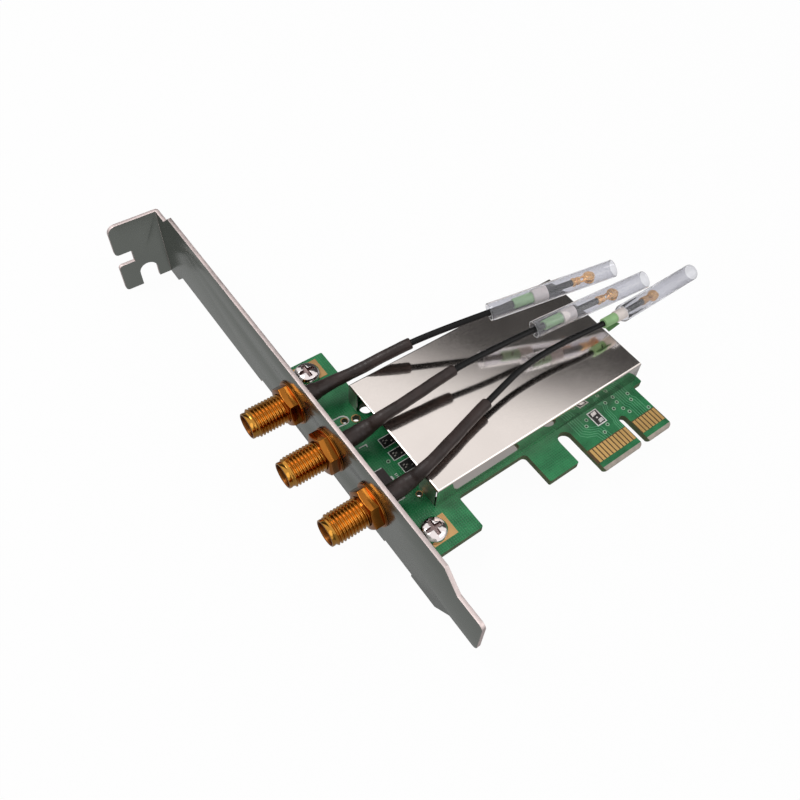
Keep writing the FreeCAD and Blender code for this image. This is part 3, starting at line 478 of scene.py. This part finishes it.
def crease(index):
    def depth(along, turn):
        slow = math.sin(along * 0.9 + index) * math.cos(turn + along * 0.25)
        quick = math.sin(along * 2.3 + 3 * turn + index * 1.3) * math.cos(along * 1.1 - turn)
        return 0.02 * slow + 0.01 * quick + 0.008 * math.sin(2 * turn + along * 0.6 + index * 2)
    return depth


BEVEL_ANGLE = 28
SHARP_ANGLE = 24


def bevelled(node, name, looks, width, choose=None, segments=2):
    """A copy of a CAD node with its sharp edges broken."""
    mesh = nodes[node].data.copy()
    mesh.materials.clear()
    work = bmesh.new()
    work.from_mesh(mesh)
    bmesh.ops.remove_doubles(work, verts=work.verts, dist=1e-7)
    bmesh.ops.dissolve_limit(work, angle_limit=math.radians(0.5), verts=work.verts, edges=work.edges)
    for face in work.faces:
        face.smooth = True
    work.to_mesh(mesh)
    work.free()
    raw = bpy.data.objects.new(name + "_raw", mesh)
    scene.collection.objects.link(raw)
    edge = raw.modifiers.new("bevel", "BEVEL")
    edge.width = width * MM
    edge.segments = segments
    edge.limit_method = "ANGLE"
    edge.angle_limit = math.radians(BEVEL_ANGLE)
    bpy.context.view_layer.update()
    done = bpy.data.meshes.new_from_object(raw.evaluated_get(bpy.context.evaluated_depsgraph_get()))
    bpy.data.objects.remove(raw)
    done.name = name
    settle(done, SHARP_ANGLE)
    if choose:
        for polygon in done.polygons:
            polygon.material_index = choose(polygon)
    piece = bpy.data.objects.new(name, done)
    scene.collection.objects.link(piece)
    return declare(piece, looks, (node,))


def build_plug(index, start, along):
    """Snap-on plug: rolled crimp wings, a flat neck and a round head with a rim."""
    side = (Vector((0, 0, 1)) - along * along.z).normalized()
    across = along.cross(side)
    plug = Shell()
    plug.lathe(start, along, [
        (-0.05, 0.3), (-0.05, 0.8), (0.05, 0.92), (0.3, 0.96), (0.62, 0.9), (0.72, 0.68),
        (0.86, 0.68), (0.96, 0.82), (1.3, 0.86), (1.7, 0.8), (1.8, 0.6), (1.8, 0.3)], 32)
    for turn in (-0.5, 0.5):
        out = across * math.sin(turn) - side * math.cos(turn)
        for low, high, reach in ((0.12, 0.58, 0.98), (1.02, 1.62, 0.88)):
            wing = high - low
            plug.lathe(start + along * low + out * (reach - 0.16), along, [
                (0.0, 0.0), (0.0, 0.17), (0.06, 0.22), (wing - 0.06, 0.22), (wing, 0.17), (wing, 0.0)], 16)
    centre = start + along * (1.8 + 0.9 + 1.25)
    for lean in (-1, 1):
        base = start + along * 1.7 + across * lean * 0.5
        plug.lathe(base, (centre + across * lean * 0.8 - base), [
            (0.0, 0.0), (0.0, 0.15), (0.06, 0.2), (1.3, 0.2), (1.6, 0.14), (1.6, 0.0)], 14)
    mouth = centre - side * 0.85
    plug.lathe(mouth, side, [
        (0.0, 0.95), (0.0, 1.12), (0.06, 1.2), (0.24, 1.2), (0.32, 1.08), (0.62, 1.08), (0.7, 1.27),
        (1.24, 1.28), (1.32, 1.2), (1.34, 1.05), (1.5, 0.98), (1.66, 0.82), (1.69, 0.5), (1.69, 0.0)], 48)
    plug.lathe(mouth, side, [(0.0, 0.95), (0.9, 0.95), (0.9, 0.3), (0.2, 0.26), (0.18, 0.0)], 48)
    for lean in (-1, 1):
        plug.lathe(centre + across * lean * 1.0 - side * 0.3, side, [
            (0.0, 0.0), (0.0, 0.26), (0.06, 0.3), (0.5, 0.3), (0.56, 0.24), (0.56, 0.0)], 16)
    return plug.build("plug_%d" % index, (PLUG_GOLD,), ("coax_plug_%d" % index,), 40)


def build_lead(index):
    route = ROUTES[index - 1]
    cable, points = lead_curve(index, route)
    declare(cable, (JACKET,), ("coax_cable_%d" % index,))
    path = Path([points[0] - Vector((CRIMP, 0, 0))] + points)

    boot = Shell()
    sweep(boot, path, boot_profile(index, BOOT_LENGTHS[index - 1] + CRIMP), crease(index))
    boot.build("boot_%d" % index, (BOOT,), ("heat_shrink_boot_%d" % index,))

    sleeve_end = path.length - SLEEVE_TO_END
    sleeve_start = sleeve_end - SLEEVE_LENGTH
    label_start = sleeve_start - LABEL_LENGTHS[index - 1]
    wide = SLEEVE_RADII[index - 1]
    sleeve = Shell()
    sweep(sleeve, path, [
        (sleeve_start, 0.74), (sleeve_start + 0.01, wide - 0.15), (sleeve_start + 0.14, wide),
        (sleeve_end - 0.14, wide), (sleeve_end - 0.01, wide - 0.13), (sleeve_end, 0.74)])
    sleeve.build("sleeve_%d" % index, (SLEEVE,),
                               ("cable_sleeve_%d" % index,))

    label = Shell()
    sweep(label, path, [
        (label_start, 0.72), (label_start + 0.01, 1.1), (label_start + 0.08, 1.17),
        (sleeve_start - 0.08, 1.19), (sleeve_start - 0.01, 1.12), (sleeve_start, 0.72)],
        lambda along, turn: 0.04 * math.sin(turn * 2 + 0.4))
    mark = label_start + 2.1
    for k in range(5):
        spot, side, other = path.at(mark + 0.1 * k)
        out = (side * math.cos(2.4 + k * 0.16) + other * math.sin(2.4 + k * 0.16))
        label.lathe(spot + out * 1.12, out, [(0.0, 0.17), (0.1, 0.17), (0.11, 0.0)], 10, 1)
    # Label 3's hanging flap takes the darker label film, which is painted shade.
    if index == 3:
        start, side, other = path.at(label_start + 0.2)
        end = path.at(sleeve_start + 0.9)[0]
        hang = Vector((-0.12, -0.62, -0.6)).normalized()
        run = end - start
        outline = [start + hang * 0.9, start + run * 0.78 + hang * 0.95, start + run * 1.02 + hang * 1.8,
                   start + run * 0.2 + hang * 2.2]
        lift = run.cross(hang).normalized() * 0.09
        corners = [corner + lift for corner in outline] + [corner - lift for corner in outline]
        sides = [(k, (k + 1) % 4, 4 + (k + 1) % 4, 4 + k) for k in range(4)]
        label.add(corners, [(0, 1, 2, 3), (7, 6, 5, 4)] + sides, 2)
    label.build("label_%d" % index, (PAPER, JACKET, PAPER_PAINTED_SHADE),
                              ("cable_label_%d" % index,))

    end = Vector(route[-1])
    along = (end - Vector(route[-2])).normalized()
    tube = Shell()
    start = end - along * TUBE_OVERLAPS[index - 1]
    far = TUBE_LENGTHS[index - 1]
    skin = [(0.0, 1.72), (0.0, 1.88), (0.07, 1.94)]
    skin += [(far * k / 20, 1.945 + 0.005 * math.sin(k * 1.7)) for k in range(1, 20)]
    skin += [(far - 0.07, 1.94), (far, 1.88), (far, 1.72), (far - 0.07, 1.66), (far / 2, 1.655),
             (0.07, 1.66)]
    tube.lathe(start, along, skin, 56, closed=True)
    for i, face in enumerate(tube.faces):
        middle = sum((tube.points[k] for k in face), Vector()) / len(face) - start
        reach = (middle - along * middle.dot(along)).length
        if reach < 1.93 and middle.dot(along) < 0.02:
            tube.indices[i] = 1
    tube.build("tube_%d" % index, (CLEAR, CUT), ("clear_tube_%d" % index,), 50)

    build_plug(index, end, along)


for lead in (1, 2, 3):
    build_lead(lead)


# Antenna jacks: cut thread, bore, and the collar behind the bracket
FRONT = -10.54
THREAD_START = -9.75
THREAD_END = -2.75
PITCH = 0.7056
CREST = 3.15
ROOT = 2.76
RELIEF = ROOT - 0.08
RUN_IN = 0.9
HEX_REACH = 4.6


def thread(shell, centre, phase, sides=72):
    """A helical thread with sloped flanks and a chamfered first turn."""
    shape = ((0.0, ROOT), (0.06, ROOT), (0.44, CREST), (0.56, CREST), (0.94, ROOT), (1.0, ROOT))
    turns = math.ceil((THREAD_END - THREAD_START) / PITCH) + 2
    points = []
    for step in range(turns * sides + 1):
        turn = 2 * math.pi * step / sides + phase
        base = THREAD_START + PITCH * (step / sides - 1.5)
        for share, radius in shape:
            x = base + PITCH * share
            limit = RELIEF + max(x - THREAD_START, 0) * RUN_IN
            reach = min(radius, limit)
            x = min(max(x, THREAD_START), THREAD_END)
            points.append(centre + Vector((x, reach * math.cos(turn), reach * math.sin(turn))))
    width = len(shape)
    faces = []
    for step in range(turns * sides):
        for k in range(width - 1):
            a = step * width + k
            faces.append((a, a + 1, a + width + 1, a + width))
    shell.add(points, faces)


def build_jack(index):
    centre = Vector((0, PLACES[index - 1], HEIGHT))
    body = Shell()
    along = (1, 0, 0)
    # The bore's inside takes the darker gold, which is painted shade.
    body.lathe(centre, along, [
        (-7.16, 1.9), (-7.14, 2.32), (-7.0, 2.35), (FRONT + 0.3, 2.35), (FRONT + 0.06, 2.42), (FRONT, 2.5)],
        index=1)
    body.lathe(centre, along, [
        (FRONT, 2.5), (FRONT, ROOT - 0.1), (FRONT + 0.08, ROOT), (FRONT + 0.5, ROOT + 0.02),
        (THREAD_START, RELIEF)])
    thread(body, centre, index * 1.9)
    body.lathe(centre, along, [
        (THREAD_END, 3.1), (THREAD_END, 2.94), (-0.5, 2.94), (-0.5, 3.14), (0.9, 3.14), (0.9, 3.6)])
    corners = []
    for k in range(6):
        angle = math.radians(60 * k + TURNS[index - 1])
        corners.append((math.cos(angle) * HEX_REACH, math.sin(angle) * HEX_REACH))
    hexagon = []
    for x, share in ((0.9, 0.985), (0.98, 1.0), (COLLAR_BACK - 0.16, 1.0), (COLLAR_BACK - 0.01, 0.96)):
        hexagon += [centre + Vector((x, y * share, z * share)) for y, z in corners]
    faces = [tuple(range(6)), tuple(range(23, 17, -1))]
    for row in range(3):
        faces += [(row * 6 + k, row * 6 + (k + 1) % 6, row * 6 + 6 + (k + 1) % 6, row * 6 + 6 + k)
                  for k in range(6)]
    body.add(hexagon, faces)
    body.lathe(centre, along, [(COLLAR_BACK - 0.1, 1.25), (4.56, 1.25), (4.58, 0.75)])
    body.build("jack_%d" % index, (GOLD, BORE_PAINTED_SHADE), ("antenna_jack_%d" % index,), 40)

    bevelled("jack_nut_%d" % index, "nut_%d" % index, (NUT_GOLD,), 0.13, segments=3)
    washer = Shell()
    washer.lathe(centre, along, [
        (-0.01, 3.2), (-0.01, 4.7), (-0.05, 4.82), (-0.2, 4.84), (-0.235, 4.78), (-0.245, 4.4),
        (-0.265, 4.4), (-0.275, 4.66), (-0.31, 4.72), (-0.45, 4.7), (-0.49, 4.6), (-0.49, 3.2)],
        96, closed=True)
    washer.build("washer_%d" % index, (NUT_GOLD,), ("jack_washer_%d" % index,), 40)


for jack in (1, 2, 3):
    build_jack(jack)


# Bracket: bright sheet faces, pale sheared edges
def sheet_side(polygon):
    """Polished on the sheet's two faces, sheared round its outline."""
    x, y = polygon.center.xy / MM
    normal = polygon.normal
    if x < -0.05:
        return 0 if abs(normal.y) > 0.7 else 1
    if x > 0.95:
        return 0 if abs(normal.z) > 0.3 else 1
    return 0 if abs(normal.x) > 0.55 or normal.y > 0.55 and y > 105.5 else 1


bevelled("bracket", "bracket_sheet", (STEEL, SHEAR), 0.07, sheet_side)


def recess_side(x, y):
    """Painted shade: darker metal inside a screw head's cross recess."""
    def choose(polygon):
        spot = polygon.center / MM
        inside = math.hypot(spot.x - x, spot.y - y) < 1.72 and 0.5 < spot.z < 1.73
        steep = abs(polygon.normal.z) < 0.3 or spot.z < 0.85
        return 1 if inside and steep else 0
    return choose


COVER_FRONT = 11.3 * MM


def sheared_front(polygon):
    """Cut sheet on the cover's front edge."""
    return 1 if abs(polygon.normal.x) > 0.9 and polygon.center.x < COVER_FRONT else 0


bevelled("shield_cover", "cover_sheet", (TIN, TIN_EDGE), 0.03, sheared_front)
for end, x, y in (("lower", 7.74, 9.4), ("upper", 7.65, 54.7)):
    bevelled("board_screw_" + end, "screw_" + end, (CHROME, RECESS_PAINTED_SHADE), 0.05,
             recess_side(x, y))


def dress(node, looks, choose=None):
    """Gives a carried-over CAD node its materials."""
    mesh = nodes[node].data
    mesh.materials.clear()
    for look in looks:
        mesh.materials.append(look.material)
    for polygon in mesh.polygons:
        polygon.material_index = choose(polygon) if choose else 0


def board_side(polygon):
    """Resist above and below, pale laminate on the bevels and the front edge, dark olive as painted shade in
    the other cut walls.
    """
    normal = polygon.normal
    if abs(normal.z) > 0.95:
        return 0
    if abs(normal.z) > 0.1 or polygon.center.y < 0.0001:
        return 1
    return 2


SMALL_HOLES = ((10.0, 39.4), (7.7, 40.2), (10.24, 17.46))
RING_REACH = 1.4


def pad_side(polygon):
    """Square screw pads apart from the rings round the small holes, which get a darker gold as painted
    shade.
    """
    x, y = polygon.center.xy / MM
    near = [math.hypot(x - hole_x, y - hole_y) for hole_x, hole_y in SMALL_HOLES]
    return 1 if min(near) < RING_REACH else 0


dress("circuit_board", (GREEN, LAMINATE, WALL_PAINTED_SHADE), board_side)
dress("edge_contacts", (PLATING,))
dress("solder_pads", (PAD_GOLD, RING_GOLD_PAINTED_SHADE), pad_side)
dress("mini_card_socket", (MOULD,))
dress("socket_contacts", (PLATING,))
for index in (1, 2, 3):
    dress("jack_insulator_%d" % index, (WAX,))
    dress("jack_contact_%d" % index, (PLUG_GOLD,))


# Board detail: tracks, vias, printed outlines and bare places
TRACK_WIDTH = 0.2
TRACK_PITCH = 0.62
COVER_SIDE = 13.1
FINGER_TOP = 5.5
detail = Shell()
for k in range(5):
    x = 46.4 + TRACK_PITCH * k
    low = 9.1 + 0.34 * k
    detail.ribbon([(x, COVER_SIDE), (x, low), (x + 1.1, low - 1.1), (x + 3.0, low - 1.9),
                   (x + 3.4, FINGER_TOP)], TRACK_WIDTH)
for k in range(3):
    x = 54.7 + 0.5 * k
    detail.ribbon([(x + 0.6, COVER_SIDE), (x + 1.4, 12.3), (x + 0.6, 10.8), (x + 0.6, 8.2),
                   (x + 0.2, 7.4), (x + 0.2, FINGER_TOP)], TRACK_WIDTH)
for k in range(6):
    x = 60.6 + TRACK_PITCH * k
    detail.ribbon([(x - 0.4, COVER_SIDE), (x - 0.4, 9.4 + 0.2 * k), (x + 0.1, 8.6 + 0.2 * k),
                   (x + 0.1, FINGER_TOP)], TRACK_WIDTH)
VIAS = ((50.3, 11.4), (49.2, 10.2), (53.4, 8.0), (51.5, 6.9), (57.0, 12.4), (59.5, 12.6), (59.3, 11.1),
        (57.5, 10.2), (59.3, 9.1), (63.0, 11.4), (62.5, 9.8), (59.9, 7.7), (64.3, 6.1), (9.53, 27.0))
for x, y in VIAS:
    detail.ring(x, y, 0.24, 0.46, high=0.035, index=3)
    # The black disc in each via stands for its open hole: painted shade.
    detail.disc(x, y, 0.25, high=0.034, index=1)
for low, high in (((44.7, 1.94), (56.25, 5.55)), ((58.2, 1.94), (65.36, 5.55))):
    detail.prism([low, (high[0], low[1]), high, (low[0], high[1])], SUNK, 0.012, 2)
detail.build("board_tracks", (TRACK, BLACK, BROWN, VIA))

# Low dark brown plate on the board, beside the lowest jack
low_plate = Shell()
low_plate.prism([(2.7, 18.75), (7.6, 18.75), (7.6, 26.25), (2.7, 26.25)], 0.02, 0.42)
low_plate.prism([(2.78, 18.83), (7.52, 18.83), (7.52, 26.17), (2.78, 26.17)], 0.42, 0.5)
low_plate.build("flat_part", (DARK_PLATE,))

print_marks = Shell()


def frame_mark(low, high, width):
    """A dark place inside a printed outline."""
    corners = [low, (high[0], low[1]), high, (low[0], high[1])]
    print_marks.prism(corners, SUNK, 0.02, 1)
    print_marks.ribbon(corners, width, closed=True, high=0.045)


for x, low, high in ((10.68, 30.0, 32.4), (10.64, 26.45, 28.75), (10.83, 22.85, 25.45)):
    frame_mark((x, low), (13.9, high), 0.17)
    middle = (low + high) / 2
    for across, along in ((0.8, 0.42), (0.8, -0.3), (1.35, 0.1)):
        corner = Vector((x + across, middle + along))
        reach = Vector((0.2, 0.06))
        width = Vector((-reach.y, reach.x)) * 0.6
        print_marks.prism([corner - reach - width, corner + reach - width, corner + reach + width,
                           corner - reach + width], 0.0, 0.16, 3)
    print_marks.disc(x + 2.25, middle - 0.45, 0.2, high=0.12, index=3, sides=12)
frame_mark((51.45, 8.85), (53.95, 12.45), 0.26)
print_marks.prism([(51.8, 11.1), (53.2, 11.3), (53.3, 12.1), (52.0, 12.0)], 0.0, 0.3, 2)
print_marks.prism([(52.2, 9.1), (53.5, 9.2), (53.5, 10.1), (52.4, 10.0)], 0.0, 0.3, 2)
print_marks.disc(52.7, 10.6, 0.24, high=0.1, index=2, sides=10)
print_marks.ribbon([(5.8, 26.5), (7.5, 26.47)], 0.28, high=0.05)
print_marks.ribbon([(5.9, 18.5), (7.55, 18.45)], 0.28, high=0.05)
print_marks.ribbon([(6.4, 32.9), (8.1, 32.85), (8.0, 32.2)], 0.24, high=0.05)
print_marks.ribbon([(4.9, 41.66), (7.5, 41.56), (8.15, 41.3), (8.6, 40.7), (8.6, 40.1), (8.3, 39.6),
                    (7.85, 39.4), (5.0, 39.62)], 0.3, high=0.05)
print_marks.prism([(7.8, 22.95), (8.2, 22.95), (8.15, 23.9), (7.75, 23.9)], 0.0, 0.06, 0)
for y in (22.95, 23.35, 23.75):
    print_marks.ribbon([(8.75, y), (9.35, y)], 0.16, high=0.05)
print_marks.build("board_print", (SILK, BLACK, SOLDER, TIN_EDGE))


# Floor, world and lamps: the camera and clear plastic see white, metal sees darker surroundings
FLOOR_REACH = 4.0
MIRRORED_GLOW = 0.36
SEEN_SHARE = 0.965
MIRRORED_SHARE = 0.95
SIDE_LIGHT = 0.55

floor_mesh = bpy.data.meshes.new("floor")
floor_corners = [(x * FLOOR_REACH, y * FLOOR_REACH, FLOOR) for x, y in ((-1, -1), (1, -1), (1, 1), (-1, 1))]
floor_mesh.from_pydata(floor_corners, [], [(0, 1, 2, 3)])
floor = bpy.data.objects.new("floor", floor_mesh)
scene.collection.objects.link(floor)
ground = Look("floor", (0.8, 0.8, 0.8), roughness=0.9)
tree = ground.tree
path_node = ground.node("ShaderNodeLightPath")
seen = ground.math("MAXIMUM", path_node.outputs["Is Camera Ray"], path_node.outputs["Is Transmission Ray"])
mirrored = ground.math("MULTIPLY", path_node.outputs["Is Glossy Ray"], MIRRORED_GLOW)
glow = ground.node("ShaderNodeEmission", [("Color", (1, 1, 1, 1)),
                                          ("Strength", ground.math("MAXIMUM", seen, mirrored))])
kept = ground.node("ShaderNodeBsdfDiffuse", [("Color", (0.8, 0.8, 0.8, 1))])
share = ground.range(seen, 0.0, SEEN_SHARE, 0.0, 1.0)
share = ground.math("MAXIMUM", share,
                    ground.math("MULTIPLY", path_node.outputs["Is Glossy Ray"], MIRRORED_SHARE))
cover = ground.node("ShaderNodeMixShader", [(0, share), (1, kept.outputs[0]), (2, glow.outputs[0])])
tree.links.new(cover.outputs[0], tree.nodes["Material Output"].inputs["Surface"])
tree.nodes.remove(ground.shader)
floor_mesh.materials.append(ground.material)

world = bpy.data.worlds.new("world")
scene.world = world
world.use_nodes = True
sky = world.node_tree
background = sky.nodes["Background"]
light_path = sky.nodes.new("ShaderNodeLightPath")
where = sky.nodes.new("ShaderNodeTexCoord")
toward = sky.nodes.new("ShaderNodeVectorMath")
toward.operation = "DOT_PRODUCT"
toward.inputs[1].default_value = (0.8, 0.6, 0.0)
sky.links.new(where.outputs["Generated"], toward.inputs[0])
fall = sky.nodes.new("ShaderNodeMapRange")
fall.interpolation_type = "SMOOTHSTEP"
for key, value in (("From Min", 0.565), ("From Max", 0.66), ("To Min", 1.0), ("To Max", 0.06)):
    fall.inputs[key].default_value = value
sky.links.new(toward.outputs["Value"], fall.inputs["Value"])
strength = sky.nodes.new("ShaderNodeMix")
strength.inputs[2].default_value = SIDE_LIGHT
sky.links.new(light_path.outputs["Is Glossy Ray"], strength.inputs[0])
sky.links.new(fall.outputs[0], strength.inputs[3])
white = strength.outputs[0]
for kind in ("Is Camera Ray", "Is Transmission Ray"):
    larger = sky.nodes.new("ShaderNodeMath")
    larger.operation = "MAXIMUM"
    sky.links.new(white, larger.inputs[0])
    sky.links.new(light_path.outputs[kind], larger.inputs[1])
    white = larger.outputs[0]
sky.links.new(white, background.inputs["Strength"])
background.inputs["Color"].default_value = (1.0, 1.0, 1.0, 1.0)


def lamp(name, spot, aim, size, power):
    data = bpy.data.lights.new(name, "AREA")
    data.shape = "DISK"
    data.size = size
    data.energy = power
    piece = bpy.data.objects.new(name, data)
    piece.location = spot
    piece.rotation_euler = (Vector(aim) - Vector(spot)).to_track_quat("-Z", "Y").to_euler()
    scene.collection.objects.link(piece)


lamp("key", (-0.16, 0.2, 0.42), (0.03, 0.03, 0.0), 0.22, 0.75)
lamp("fill", (0.25, -0.3, 0.35), (0.03, 0.03, 0.0), 0.4, 0.35)
